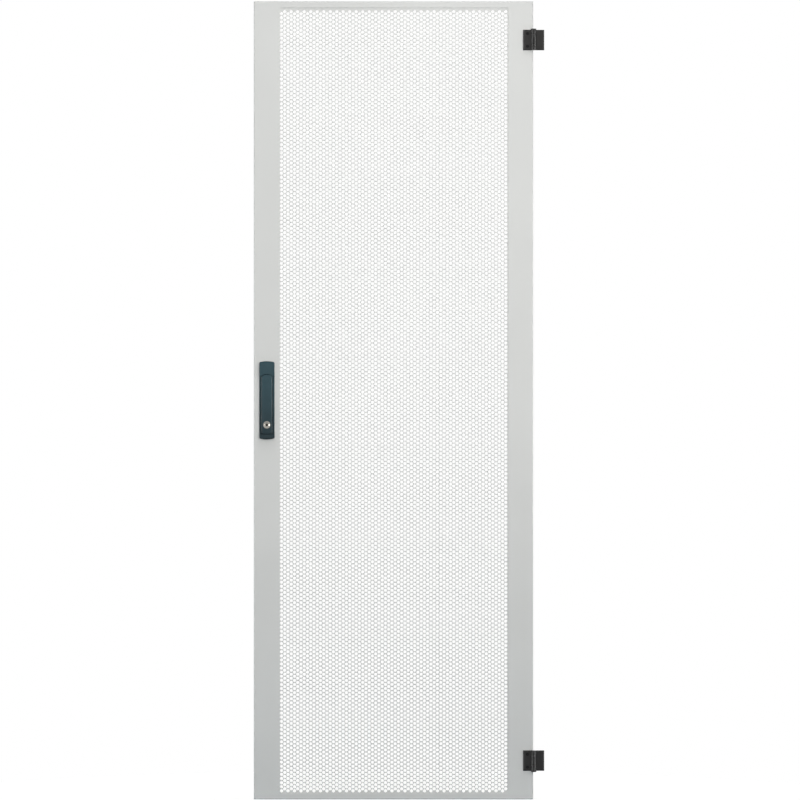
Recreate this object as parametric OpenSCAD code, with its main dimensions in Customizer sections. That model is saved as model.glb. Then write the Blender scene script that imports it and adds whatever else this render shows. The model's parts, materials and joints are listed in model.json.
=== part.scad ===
// Perforated rack door: a folded sheet steel frame with a staggered perforated
// panel behind its window, a recessed swing handle that drives two lock rods,
// and two surface hinges at the right-hand edge.
//
// +Z is up and the front faces -Y. The origin is at the lower hinge: midway
// between the two fixing holes of its frame leaf, on the rack's front surface.

/* [Door leaf] */
// Width of the door leaf
door_w = 700; // [500:10:800]
// Height of the door leaf
door_h = 2000; // [1200:50:2200]
// Depth of the folded edges, front to back
door_depth = 25; // [24:1:40]
// Thickness of the folded sheet
sheet_t = 2; // [1.5:0.1:2.5]
// Outside radius of the folded front edges
bend_r = 3; // [2.6:0.2:5]
// Width of the frame beside the window, at the lock
lock_stile_w = 65; // [64:1:90]
// Width of the frame beside the window, at the hinges
hinge_stile_w = 62.5; // [58:0.5:90]
// Height of the frame above the window
top_rail_h = 15.5; // [14:0.5:60]
// Height of the frame below the window
bottom_rail_h = 15; // [14:0.5:60]
// Width of the rear lips along the two sides
side_lip_w = 15; // [13:1:16]
// Width of the rear lips along top and bottom
end_lip_w = 12; // [8:1:13]

/* [Perforated panel] */
// Thickness of the perforated sheet
panel_t = 1.5; // [1:0.1:2]
// Distance between neighbouring columns of holes
hole_pitch_x = 8.15; // [8:0.05:10]
// Distance between the holes of one column
hole_pitch_z = 10.25; // [10:0.05:12]
// Diameter of a hole
hole_d = 8; // [5:0.1:8]
// Real hole pitches that one modelled hole stands for, each way
hole_ratio = 4; // [4:1:12]
// Part of the panel that lies behind each side of the window frame
panel_side_flange = 15; // [14.5:0.5:16]
// Part of the panel that lies behind the top and bottom rails
panel_end_flange = 11; // [6:0.5:11.5]

/* [Stiffening profiles] */
// Width of a profile
stiffener_w = 14; // [12:0.5:14]
// Depth of a profile behind the panel
stiffener_depth = 14; // [8:1:16]
// Thickness of the profile sheet
stiffener_t = 1.5; // [1:0.1:2]
// Pitch of the holes in a profile
stiffener_hole_pitch = 25; // [20:1:50]
// Diameter of the holes in a profile
stiffener_hole_d = 5.5; // [4:0.1:6]

/* [Hinges] */
// Distance from each end of the door to the middle of its hinge
hinge_inset = 97.5; // [60:0.5:200]
// Width of a hinge leaf, from the pin's axis
leaf_w = 26.5; // [24:0.5:32]
// Height of the hinge leaves
leaf_h = 51; // [46:1:70]
// Thickness of the hinge leaves
leaf_t = 6; // [5:0.1:6.2]
// Distance of the pin's axis in front of the door
hinge_axis_lift = 7; // [6.9:0.1:9]
// Distance of the pin's axis beyond the door's edge
hinge_axis_out = 1; // [0.5:0.1:3]
// Outside diameter of the knuckles
knuckle_d = 13.2; // [11:0.1:13.2]
// Height of the knuckle that belongs to the door
door_knuckle_h = 24; // [16:1:30]
// Length of the outer knuckle beyond the leaf
knuckle_overhang = 2.5; // [0:0.5:5]
// Diameter of the hinge pins
hinge_pin_d = 5; // [4:0.5:6]
// Distance from the pin's axis to the fixing holes of each leaf
leaf_hole_offset = 15.5; // [14:0.5:18]
// Vertical distance between the fixing holes of a leaf
leaf_hole_spacing = 32; // [26:1:38]
// Diameter of the hinge screws and their threads
hinge_screw_d = 4; // [3:0.5:5]

/* [Handle] */
// Distance from the door's edge to the handle's centre line
handle_inset = 33; // [32:0.5:36]
// Width of the dish on each side of the lever
dish_margin = 5.5; // [5:0.25:6.5]
// Height of the dish above the lever's head
upper_end_h = 32.1; // [30:0.1:40]
// Height of the dish below the lever's foot
lower_end_h = 12.7; // [12.5:0.1:20]
// Width of the lever
lever_w = 27; // [26:0.5:27.5]
// Length of the lever below its swing axis
lever_len = 130.5; // [110:0.5:150]
// Thickness of the lever
lever_t = 10.6; // [10.4:0.1:12]
// Radius of the lever's arched head
lever_head_r = 18; // [16.5:0.5:18.5]
// Angle that the lever lifts out of the dish before it swings
lever_tilt = 20; // [10:1:20]
// Depth of the pocket behind the lever
pocket_depth = 7; // [5:0.5:7]
// Distance from the lever's foot up to the lock
lock_up = 22.5; // [22:0.5:24]
// Diameter of the lock barrel
barrel_d = 18.2; // [14:0.1:19]
// Diameter of the turning plug in the barrel
plug_d = 10; // [9:0.1:12]
// Travel of the lever's lock bolt
bolt_travel = 5; // [4:0.5:5]

/* [Rod lock] */
// Width of the lock rods
rod_w = 16; // [12:1:18]
// Thickness of the lock rods
rod_t = 3; // [2:0.5:3]
// Distance from each end of the door to the tip of its rod
rod_end_inset = 40; // [30:1:120]
// Teeth of the pinion
pinion_teeth = 12; // [12:1:12]
// Size of the teeth, as pitch diameter over number of teeth
tooth_module = 1.5; // [1.4:0.05:1.5]

/* [Fits] */
// Radial clearance of turning shafts in their bores
running_fit = 0.06; // [0.02:0.01:0.1]
// Radial clearance of screws and pins that do not turn
still_fit = 0.03; // [0.01:0.01:0.1]
// Clearance between parts that slide or pass each other
slide_gap = 0.3; // [0.2:0.05:0.5]
// Clearance round a part that is set into a cut-out
cutout_gap = 0.5; // [0.3:0.1:1]

/* [Hidden] */

$fn = 48;
eps = 0.01; // overlap that makes a cut come out clean
cut = 60; // length of a cutting tool that passes right through

// Door leaf: x and z of its edges in the part's frame
door_right = -(leaf_hole_offset + hinge_axis_out);
door_left = door_right - door_w;
door_bottom = -hinge_inset;
door_top = door_bottom + door_h;
window_left = door_left + lock_stile_w;
window_right = door_right - hinge_stile_w;
window_bottom = door_bottom + bottom_rail_h;
window_top = door_top - top_rail_h;

// Perforated panel, face to face with the back of the frame sheet
panel_left = window_left - panel_side_flange;
panel_right = window_right + panel_side_flange;
panel_bottom = window_bottom - panel_end_flange;
panel_top = window_top + panel_end_flange;
panel_back = sheet_t + panel_t;
column_pitch = hole_pitch_x * hole_ratio;
row_pitch = hole_pitch_z * hole_ratio;
punch_d = hole_d * hole_ratio;
columns = floor((window_right - window_left - punch_d) / column_pitch) + 1;
rows = floor((window_top - window_bottom - punch_d) / row_pitch) + 1;
field_x = (window_left + window_right - (columns - 1) * column_pitch) / 2;
field_z = (window_bottom + window_top - (rows - 1) * row_pitch) / 2;

// Stiffening profiles, on the panel's flanges
stiffener_set = 0.5; // step back from the window's edge
lock_stiffener_x = window_left - stiffener_set - stiffener_w;
hinge_stiffener_x = window_right + stiffener_set;
stiffener_hole_end = 22; // from the end of a profile to its first hole

// Hinges
hinge_axis_x = -leaf_hole_offset;
hinge_axis_y = -hinge_axis_lift;
lower_hinge_z = 0;
upper_hinge_z = door_h - 2 * hinge_inset;
knuckle_r = knuckle_d / 2;
knuckle_gap = 0.4; // between knuckles, along the pin and round it
door_knuckle = [-door_knuckle_h / 2, door_knuckle_h / 2]; // z ranges, from the middle
inner_knuckle = [-leaf_h / 2, door_knuckle[0] - knuckle_gap];
outer_knuckle = [door_knuckle[1] + knuckle_gap, leaf_h / 2 + knuckle_overhang];
leaf_bevel = 2.5;
leaf_edge_t = 3.5; // thickness of a leaf at its bevelled edges
web_set = 0.5; // from the axis to the inner end of a leaf
groove_w = 1.8; // moulded line along the front of the knuckles
pin_recess = 0.5; // the pin's ends lie this deep in the knuckles
leaf_floor = 1; // skin left in front of a frame leaf's blind holes
hinge_head_d = hinge_screw_d * 1.88;
hinge_head_h = hinge_screw_d * 0.55;
backing_t = 3;
backing_w = 17;
backing_h = 46;
backing_corner_r = 2;

// Handle, front to back. y is 0 at the front of the door.
handle_x = door_left + handle_inset;
head_gap = 1.4; // between the lever's head and the dish round it
foot_gap = 1.3; // between the lever's foot and the dish below it
dish_h = upper_end_h + head_gap + lever_head_r + lever_len + foot_gap + lower_end_h;
dish_w = lever_w + 2 * dish_margin;
hub_up = dish_h / 2 - upper_end_h - head_gap - lever_head_r; // from the dish's middle
dish_z = (door_bottom + door_top) / 2;
hub_z = dish_z + hub_up;
lock_drop = lever_len - lock_up;
gasket_t = 1;
flange_t = 3;
rim_y = -(gasket_t + flange_t);
lever_back = rim_y - 0.4;
lever_front = lever_back - lever_t;
floor_front = rim_y + pocket_depth;
floor_t = 2;
floor_back = floor_front + floor_t;
boss_back = floor_back + 4;
pocket_w = lever_w + 3;
pocket_wall = 1.5;
housing_w = pocket_w + 2 * pocket_wall;
housing_corner_r = 3;
shoulder_y = rim_y - 7; // front of the raised ends of the dish
shoulder_set = 0.8; // step back of the raised ends from the rim's edge
shoulder_bevel = [2.5, 2.5]; // bevel of a raised end: depth, height
upper_shoulder = hub_up + lever_w / 2 + 0.7;
lower_shoulder = hub_up - lever_len - foot_gap;
housing_top = hub_up + lever_head_r + head_gap + pocket_wall;
housing_bottom = lower_shoulder - pocket_wall;
cutout_w = housing_w + 2 * cutout_gap;
crown_rise = 2.8; // rise of the dish's curved ends
crown_r = (pow(dish_w / 2, 2) + pow(crown_rise, 2)) / (2 * crown_rise);
dish_corner_r = 6;
handle_screw_d = 4;
screw_in = [14, 4.5]; // from the dish's upper and lower end to its screws
upper_screw = dish_h / 2 - screw_in[0];
lower_screw = -dish_h / 2 + screw_in[1];
handle_screw_tip = rim_y - 4;
clamp_t = 5;
clamp_w = 34;
clamp_h = [20, 9]; // upper and lower clamp
clamp_corner_r = 1.5;
gasket_set = 0.4; // step back of the gasket's edge from the dish's

// Lever and its lock
pin_y = -9; // tilt axis
pivot_pin_d = 3;
pin_back = lever_back - pin_y;
lever_bevel = 1.2;
head_bevel = 1.6;
slope_top = -0.4 * lever_len; // the front slopes back gently from here down
slope_angle = 1.9;
foot_top = -lock_drop - barrel_d / 2 - 1; // and more steeply below the lock
foot_angle = 10;
foot_set = (slope_top - foot_top) * tan(slope_angle);
lever_skin = 2;
lever_wall = 2;
tongue_r = 3.6;
tongue_w = 10;
tongue_gap = 0.4;
chamber_front = lever_front + 6.5;
chamber_bottom = -lever_len + lever_wall;
chamber_over_lock = 13.5; // from the lock's axis up to the end of its chamber
chamber_top = -lock_drop + chamber_over_lock;
grip_top = -15;
grip_bottom = chamber_top + 1.5;
grip_ribs = 3;
rib_t = 1.6;
inner_w = lever_w - 2 * lever_wall;
barrel_proud = 1.3;
barrel_front = lever_front + foot_set - barrel_proud;
barrel_back = chamber_front - 0.7;
throw_r = bolt_travel / 2 / sin(45); // radius of the plug's driving pin
throw_pin_d = 2.5;
bolt_t = 2.2;
bolt_front = chamber_front + slide_gap;
bolt_back = bolt_front + bolt_t;
bolt_w = 10;
bolt_head_w = 16;
bolt_tip = -lever_len + 0.7;
undercut_h = 4.8; // undercut in the dish below the lever's foot
undercut_gap = 1.2; // between the bolt and the front wall of the undercut
cover_t = 1.2;
cover_back = lever_back - 0.1;
cover_screw_d = 2.5;
cover_post_d = 4.6;
cover_post_x = inner_w / 2 - cover_post_d / 2 - 0.4;
cover_post_z = [chamber_top - 3, chamber_bottom + 4];

// Hub, pinion and gearbox, front to back
hub_d = 14;
hub_boss_d = hub_d + 8; // boss of the dish round the hub's bore
hub_flange_d = 20;
hub_flange_front = rim_y + 3;
hub_flange_back = floor_front - 0.2;
square_w = 7;
case_t = 1.2;
case_front = boss_back;
pinion_front = case_front + case_t + 0.4;
pinion_t = 4;
pinion_back = pinion_front + pinion_t;
rod_front = pinion_front + (pinion_t - rod_t) / 2;
rod_back = rod_front + rod_t;
cover_front = pinion_back + 0.4;
pitch_r = tooth_module * pinion_teeth / 2;
tooth_pitch = PI * tooth_module;
pressure_angle = 25;
addendum = 0.8 * tooth_module;
dedendum = 1.1 * tooth_module;
backlash = 0.35; // taken off the thickness of each tooth
rack_back = 14.5; // from the hub's axis to the back of a rack
case_w = 2 * (rack_back + 0.4 + case_t);
case_up = 21;
case_down = 27;
post_z = [15, -20]; // screws of the gearbox, above and below the hub
post_d = 9;
spacer_d = 7;
jog_z = 46; // from the hub to where a rod turns onto the centre line
jog_h = 6;
washer_d = 12;
washer_t = 1.2;
pan_head_ratio = 1.9; // head diameter over screw diameter
pan_head_h = 2.4;

// Rods and guides
upper_rod_len = door_top - rod_end_inset - hub_z;
lower_rod_len = hub_z - door_bottom - rod_end_inset;
rod_taper = 10;
guide_wall = 3;
guide_h = 14;
guide_ear_w = 12;
guide_ear_t = 3;
guide_from_dish = 30; // from each end of the dish to the guide next to it
guide_end = 60; // from a rod's tip to its last guide
guide_stud_d = 4;
guide_stud_out = 6; // length of a stud behind its guide's ear
guide_z = [
    dish_z + dish_h / 2 + guide_from_dish, hub_z + upper_rod_len - guide_end,
    dish_z - dish_h / 2 - guide_from_dish, hub_z - lower_rod_len + guide_end
];

// Earth stud and buffers
earth_d = 6;
earth_len = 16;
earth_x = window_right + panel_side_flange + 13;
earth_up = 190; // from the bottom of the door
earth_z = door_bottom + earth_up;
nut_height_ratio = 0.8; // height of a nut over its thread
mesh_ratio = 0.89; // diameter where meshed threads meet, over the outer one
nut_clear = 0.2; // stretch of that diameter beyond the nut
nut_width_ratio = 1.95; // width across corners over its thread
buffer_d = 12;
buffer_h = 4;
buffer_neck_d = 5;
buffer_inset_z = 150;

powder_grey = [0.80, 0.82, 0.80];
petrol = [0.20, 0.28, 0.31];
dark_petrol = [0.15, 0.22, 0.25];
hinge_black = [0.20, 0.20, 0.19];
rubber_black = [0.12, 0.12, 0.12];
zinc = [0.76, 0.77, 0.77];
nickel = [0.84, 0.83, 0.79];

// ---------------------------------------------------------------- helpers

// Extrudes an outline drawn in x and z backwards, from y0 to y1
module plate(y0, y1) {
    translate([0, y1, 0]) rotate([90, 0, 0]) linear_extrude(y1 - y0) children();
}

// Extrudes an outline drawn in y and z along x, centred on x = 0
module side_profile(w) {
    translate([-w / 2, 0, 0]) rotate([90, 0, 90]) linear_extrude(w) children();
}

// Cylinder along y, from y0 to y1
module rod_y(d, y0, y1) {
    translate([0, y1, 0]) rotate([90, 0, 0]) cylinder(d = d, h = y1 - y0);
}

// Rectangle with corner radius r, drawn with exact arcs
module rounded_rect(w, h, r) {
    square([w - 2 * r, h], center = true);
    square([w, h - 2 * r], center = true);
    for (sx = [-1, 1], sz = [-1, 1]) translate([sx * (w / 2 - r), sz * (h / 2 - r)]) circle(r);
}

// Pan head screw along y: the head lies behind y_seat and the shank runs forward
module pan_screw(d, y_tip, y_seat, head_h) {
    rod_y(d, y_tip, y_seat + eps);
    difference() {
        rod_y(d * pan_head_ratio, y_seat, y_seat + head_h);
        plate(y_seat + head_h / 2, y_seat + head_h + 1) circle(d = d * 0.8, $fn = 6);
    }
}

// Hexagon nut along y, from nut_y, on a stud of diameter d. Both are drawn with
// the diameter at which their threads meet.
module hex_nut(d, nut_y) {
    difference() {
        plate(nut_y, nut_y + nut_height_ratio * d) circle(d = nut_width_ratio * d, $fn = 6);
        rod_y(d * mesh_ratio + 2 * still_fit, nut_y - 1, nut_y + d + 1);
    }
}

module stud(d, y0, nut_y, y1) {
    nut_end = nut_y + nut_height_ratio * d + nut_clear;
    rod_y(d, y0, nut_y);
    rod_y(d * mesh_ratio, nut_y - eps, nut_end + eps);
    rod_y(d, nut_end, y1);
}

module at_handle() {
    translate([handle_x, 0, dish_z]) children();
}

module at_hub() {
    translate([handle_x, 0, hub_z]) children();
}

module at_hinges() {
    for (z = [lower_hinge_z, upper_hinge_z]) translate([0, 0, z]) children();
}

// ------------------------------------------------------------- door leaf

// Block whose four front edges are rounded, as the folds of a tray are
module bent_block(w, h, depth, r, inset) {
    translate([door_left + inset, 0, door_bottom + inset]) intersection() {
        linear_extrude(h) bent_section(w, depth, r, inset);
        rotate([90, 0, 90]) linear_extrude(w) mirror([1, -1]) bent_section(h, depth, r, inset);
    }
}

// Section of a folded tray: x along the front, y to the back
module bent_section(w, depth, r, y0) {
    translate([r, y0 + r]) circle(r);
    translate([w - r, y0 + r]) circle(r);
    translate([r, y0]) square([w - 2 * r, depth]);
    translate([0, y0 + r]) square([w, depth - r]);
}

module door_frame() {
    color(powder_grey) difference() {
        bent_block(door_w, door_h, door_depth, bend_r, 0);
        bent_block(door_w - 2 * sheet_t, door_h - 2 * sheet_t, door_depth - 2 * sheet_t,
            bend_r - sheet_t, sheet_t);
        // opening between the rear lips
        translate([door_left + side_lip_w, door_depth / 2, door_bottom + end_lip_w])
            cube([door_w - 2 * side_lip_w, door_depth, door_h - 2 * end_lip_w]);
        // window
        translate([window_left, -1, window_bottom])
            cube([window_right - window_left, sheet_t + 2, window_top - window_bottom]);
        // handle cut-out and its two screw holes
        at_handle() {
            plate(-1, sheet_t + 1) handle_cutout();
            for (z = [upper_screw, lower_screw]) translate([0, 0, z])
                rod_y(handle_screw_d + 2 * cutout_gap, -1, sheet_t + 1);
        }
        at_hinges() for (s = [-1, 1])
            translate([hinge_axis_x - leaf_hole_offset, 0, s * leaf_hole_spacing / 2])
            rod_y(hinge_screw_d + 2 * still_fit, -1, sheet_t + 1);
        buffer_places() rod_y(buffer_neck_d, door_depth / 2, door_depth + 1);
    }
}

module handle_cutout() {
    translate([0, (housing_top + housing_bottom) / 2])
        rounded_rect(cutout_w, housing_top - housing_bottom + 2 * cutout_gap, housing_corner_r);
}

// Staggered field of round holes, every second column shifted by half a pitch
module perforated_panel() {
    color(powder_grey) plate(sheet_t, panel_back) difference() {
        translate([panel_left, panel_bottom])
            square([panel_right - panel_left, panel_top - panel_bottom]);
        for (c = [0 : columns - 1], r = [0 : rows - 1 - c % 2])
            translate([field_x + c * column_pitch, field_z + (r + (c % 2) / 2) * row_pitch])
            circle(d = punch_d, $fn = 24);
    }
}

// Channel of bent sheet, open towards the panel, with a line of holes in its web
module stiffener(x) {
    length = panel_top - panel_bottom;
    holes = floor((length - 2 * stiffener_hole_end) / stiffener_hole_pitch);
    first = (length - holes * stiffener_hole_pitch) / 2;
    translate([x, panel_back, panel_bottom]) difference() {
        cube([stiffener_w, stiffener_depth, length]);
        translate([stiffener_t, -1, -1])
            cube([stiffener_w - 2 * stiffener_t, stiffener_depth - stiffener_t + 1, length + 2]);
        for (i = [0 : holes]) translate([stiffener_w / 2, 0, first + i * stiffener_hole_pitch])
            rod_y(stiffener_hole_d, stiffener_depth / 2, stiffener_depth + 1);
    }
}

module lock_side_stiffener() {
    color(zinc) stiffener(lock_stiffener_x);
}

module hinge_side_stiffener() {
    color(zinc) stiffener(hinge_stiffener_x);
}

// ---------------------------------------------------------------- hinges

// Leaf on the +X side of the pin, with its upper end as the outer end. Its
// knuckles fill the ranges in own, and it makes room for the ranges in other.
module hinge_leaf(own, other) {
    top = leaf_h / 2;
    back = hinge_axis_lift;
    front = back - leaf_t;
    difference() {
        union() {
            intersection() {
                translate([0, 0, -top]) linear_extrude(leaf_h) polygon([
                    [web_set, front], [leaf_w - leaf_bevel, front],
                    [leaf_w, back - leaf_edge_t], [leaf_w, back], [web_set, back]
                ]);
                translate([leaf_w / 2, 0, 0]) side_profile(leaf_w) polygon([
                    [back, -top], [back - leaf_edge_t, -top], [front, -top + leaf_bevel],
                    [front, top - leaf_bevel], [back - leaf_edge_t, top], [back, top]
                ]);
            }
            for (k = own) translate([0, 0, k[0]]) cylinder(r = knuckle_r, h = k[1] - k[0]);
        }
        for (k = other) translate([0, 0, k[0] - knuckle_gap])
            cylinder(r = knuckle_r + knuckle_gap, h = k[1] - k[0] + 2 * knuckle_gap);
        translate([0, 0, -leaf_h]) cylinder(d = hinge_pin_d + 2 * running_fit, h = 2 * leaf_h);
        translate([0, -knuckle_r, -leaf_h]) rotate([0, 0, 45])
            translate([-groove_w / 2, -groove_w / 2, 0]) cube([groove_w, groove_w, 2 * leaf_h]);
    }
}

module frame_leaf() {
    color(hinge_black) translate([hinge_axis_x, hinge_axis_y, 0]) difference() {
        hinge_leaf([inner_knuckle, outer_knuckle], [door_knuckle]);
        for (s = [-1, 1]) translate([leaf_hole_offset, 0, s * leaf_hole_spacing / 2])
            rod_y(hinge_screw_d, hinge_axis_lift - leaf_t + leaf_floor, hinge_axis_lift + 1);
    }
}

module door_leaf() {
    front = hinge_axis_lift - leaf_t;
    color(hinge_black) translate([hinge_axis_x, hinge_axis_y, 0]) difference() {
        mirror([1, 0, 0]) hinge_leaf([door_knuckle], [inner_knuckle, outer_knuckle]);
        for (s = [-1, 1]) translate([-leaf_hole_offset, 0, s * leaf_hole_spacing / 2]) {
            rod_y(hinge_screw_d + 2 * still_fit, front - 1, hinge_axis_lift + 1);
            countersink(front - eps, still_fit);
        }
    }
}

// Cone of the countersunk head, with its wide end at y0
module countersink(y0, clearance) {
    translate([0, y0, 0]) rotate([-90, 0, 0]) cylinder(
        d1 = hinge_head_d + 2 * clearance, d2 = hinge_screw_d + 2 * clearance,
        h = hinge_head_h
    );
}

module lower_hinge_frame_leaf() {
    translate([0, 0, lower_hinge_z]) mirror([0, 0, 1]) frame_leaf();
}

module upper_hinge_frame_leaf() {
    translate([0, 0, upper_hinge_z]) frame_leaf();
}

module lower_hinge_door_leaf() {
    translate([0, 0, lower_hinge_z]) mirror([0, 0, 1]) door_leaf();
}

module upper_hinge_door_leaf() {
    translate([0, 0, upper_hinge_z]) door_leaf();
}

module hinge_pin() {
    bottom = inner_knuckle[0] + pin_recess;
    color(zinc) translate([hinge_axis_x, hinge_axis_y, bottom])
        cylinder(d = hinge_pin_d, h = outer_knuckle[1] - pin_recess - bottom);
}

module lower_hinge_pin() {
    translate([0, 0, lower_hinge_z]) mirror([0, 0, 1]) hinge_pin();
}

module upper_hinge_pin() {
    translate([0, 0, upper_hinge_z]) hinge_pin();
}

// Tapped plates behind the door sheet that take the hinge screws
module hinge_backing_plates() {
    color(zinc) at_hinges() translate([hinge_axis_x - leaf_hole_offset, 0, 0]) difference() {
        plate(sheet_t, sheet_t + backing_t) rounded_rect(backing_w, backing_h, backing_corner_r);
        for (s = [-1, 1]) translate([0, 0, s * leaf_hole_spacing / 2])
            rod_y(hinge_screw_d + 2 * still_fit, 0, sheet_t + backing_t + 1);
    }
}

module hinge_screws() {
    head_y = hinge_axis_y + hinge_axis_lift - leaf_t;
    color(rubber_black) at_hinges() for (s = [-1, 1])
        translate([hinge_axis_x - leaf_hole_offset, 0, s * leaf_hole_spacing / 2]) difference() {
            union() {
                countersink(head_y, 0);
                rod_y(hinge_screw_d, head_y + hinge_head_h / 2, sheet_t + backing_t + 1);
            }
            plate(head_y - 1, head_y + hinge_head_h * 0.7) circle(d = hinge_screw_d * 0.7, $fn = 6);
        }
}

// ---------------------------------------------------------- handle dish

// Tall outline with gently curved ends
module dish_outline(shrink) {
    h = dish_h - 2 * shrink;
    intersection() {
        rounded_rect(dish_w - 2 * shrink, h, dish_corner_r);
        union() {
            square([dish_w, h - 2 * crown_r], center = true);
            for (s = [-1, 1]) translate([0, s * (h / 2 - crown_r)]) circle(crown_r, $fn = 180);
        }
    }
}

// Opening that the lever lies over: straight sides and an arched head
module pocket_outline() {
    head_r = lever_head_r + head_gap;
    translate([-pocket_w / 2, lower_shoulder])
        square([pocket_w, hub_up - lower_shoulder]);
    intersection() {
        translate([0, hub_up]) circle(head_r);
        translate([-pocket_w / 2, hub_up - 1]) square([pocket_w, head_r + 2]);
    }
}

module handle_dish() {
    color(petrol) at_handle() difference() {
        union() {
            plate(rim_y, -gasket_t) dish_outline(0);
            // housing that reaches through the door
            translate([0, 0, (housing_top + housing_bottom) / 2]) plate(-gasket_t - 1, floor_back)
                rounded_rect(housing_w, housing_top - housing_bottom, housing_corner_r);
            translate([0, 0, hub_up]) rod_y(hub_boss_d, floor_back - 1, boss_back);
            for (z = post_z) translate([0, 0, hub_up + z]) rod_y(post_d, floor_back - 1, boss_back);
        }
        plate(rim_y - 1, floor_front) pocket_outline();
        translate([0, 0, hub_up]) rod_y(hub_d + 2 * running_fit, floor_front - 1, boss_back + 1);
        for (z = post_z) translate([0, 0, hub_up + z])
            rod_y(handle_screw_d + 2 * still_fit, floor_front + 1, boss_back + 1);
        handle_screw_holes();
    }
}

module handle_screw_holes() {
    for (z = [upper_screw, lower_screw]) translate([0, 0, z])
        rod_y(handle_screw_d + 2 * still_fit, handle_screw_tip - slide_gap, 0);
}

// Raised end of the dish, from the lever's opening to the end of the dish
module raised_end(shoulder, end) {
    edge = end - sign(end) * shoulder_set;
    difference() {
        intersection() {
            plate(shoulder_y - 1, rim_y) dish_outline(shoulder_set);
            side_profile(dish_w) polygon([
                [rim_y, shoulder], [shoulder_y, shoulder],
                [shoulder_y, edge - sign(end) * shoulder_bevel[1]],
                [shoulder_y + shoulder_bevel[0], edge], [rim_y, edge]
            ]);
        }
        handle_screw_holes();
    }
}

module dish_hood() {
    color(petrol) at_handle() difference() {
        raised_end(upper_shoulder, dish_h / 2);
        plate(shoulder_y - 2, 0) pocket_outline();
    }
}

// The lever's bolt catches behind the front wall of the foot
module dish_foot() {
    color(petrol) at_handle() difference() {
        raised_end(lower_shoulder, -dish_h / 2);
        translate([-pocket_w / 2, bolt_front - undercut_gap, lower_shoulder - undercut_h])
            cube([pocket_w, cut, undercut_h + 1]);
    }
}

module handle_gasket() {
    color(rubber_black) at_handle() difference() {
        plate(-gasket_t, 0) dish_outline(gasket_set);
        plate(-gasket_t - 1, 1) handle_cutout();
        for (z = [upper_screw, lower_screw]) translate([0, 0, z])
            rod_y(handle_screw_d + 2 * cutout_gap, -gasket_t - 1, 1);
    }
}

// Blocks behind the door that clamp the dish to it
module handle_clamps() {
    places = [upper_screw, lower_screw];
    color(dark_petrol) at_handle() for (i = [0, 1]) translate([0, 0, places[i]]) difference() {
        plate(sheet_t, sheet_t + clamp_t) rounded_rect(clamp_w, clamp_h[i], clamp_corner_r);
        rod_y(handle_screw_d + 2 * still_fit, 0, sheet_t + clamp_t + 1);
    }
}

module handle_screws() {
    color(zinc) at_handle() for (z = [upper_screw, lower_screw]) translate([0, 0, z])
        pan_screw(handle_screw_d, handle_screw_tip, sheet_t + clamp_t, pan_head_h);
}

// ---------------------------------------------------------------- lever

module lever_outline() {
    foot_r = 4;
    intersection() {
        union() {
            circle(lever_head_r);
            translate([-lever_w / 2, -lever_len + foot_r])
                square([lever_w, lever_len - foot_r]);
            translate([-lever_w / 2 + foot_r, -lever_len]) square([lever_w - 2 * foot_r, foot_r + 1]);
            for (s = [-1, 1]) translate([s * (lever_w / 2 - foot_r), -lever_len + foot_r])
                circle(foot_r);
        }
        translate([-lever_w / 2, -lever_len]) square([lever_w, lever_len + lever_head_r]);
    }
}

// Endless bar whose bevelled front face lies this far back at height z, and slopes
module bevelled_front(back, z, angle) {
    translate([0, lever_front + back, z]) rotate([angle, 0, 0])
        linear_extrude(4 * lever_len, center = true) polygon([
            [-lever_w / 2, cut], [-lever_w / 2, lever_bevel], [-lever_w / 2 + lever_bevel, 0],
            [lever_w / 2 - lever_bevel, 0], [lever_w / 2, lever_bevel], [lever_w / 2, cut]
        ]);
}

// The back of the head is cut off so that it lies flat on the dish when the
// lever is lifted by lever_tilt
module lever_blank() {
    head_back = pin_y + (pin_back - lever_head_r * sin(lever_tilt)) / cos(lever_tilt);
    intersection() {
        plate(lever_front, lever_back) lever_outline();
        bevelled_front(0, 0, 0);
        bevelled_front(0, slope_top, slope_angle);
        bevelled_front(foot_set, foot_top, foot_angle);
        side_profile(lever_w) polygon([
            [lever_back, -lever_len], [lever_front, -lever_len],
            [lever_front, lever_head_r - head_bevel],
            [lever_front + head_bevel, lever_head_r], [head_back, lever_head_r],
            [lever_back, pin_back * tan(lever_tilt / 2)]
        ]);
    }
}

module swing_lever() {
    room = tongue_r + tongue_gap;
    cell = (grip_top - grip_bottom - grip_ribs * rib_t) / (grip_ribs + 1);
    color(petrol) at_hub() difference() {
        lever_blank();
        // slot for the hub's tongue
        translate([-tongue_w / 2 - tongue_gap, pin_y - room, -room - 1])
            cube([tongue_w + 2 * tongue_gap, cut, 2 * room + 3]);
        translate([-lever_w, pin_y, 0]) rotate([0, 90, 0])
            cylinder(d = pivot_pin_d + 2 * still_fit, h = 2 * lever_w);
        // hollow grip, with ribs between its cells
        for (i = [0 : grip_ribs])
            translate([-inner_w / 2, lever_front + lever_skin, grip_bottom + i * (cell + rib_t)])
            cube([inner_w, cut, cell]);
        // chamber of the lock bolt, with posts for the cover's screws
        difference() {
            translate([-inner_w / 2, chamber_front, chamber_bottom])
                cube([inner_w, cut, chamber_top - chamber_bottom]);
            cover_posts() rod_y(cover_post_d, chamber_front - 1, cover_back - cover_t);
        }
        cover_posts() rod_y(cover_screw_d + 2 * still_fit, chamber_front - 2, cover_back);
        translate([0, 0, -lock_drop]) rod_y(barrel_d + 2 * still_fit, lever_front - 1, chamber_front + 1);
        // slot in the foot for the bolt
        translate([-bolt_w / 2 - slide_gap, chamber_front, -lever_len - 1])
            cube([bolt_w + 2 * slide_gap, bolt_t + 2 * slide_gap, lever_wall + 2]);
    }
}

module cover_posts() {
    for (s = [-1, 1], z = cover_post_z) translate([s * cover_post_x, 0, z]) children();
}

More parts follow.
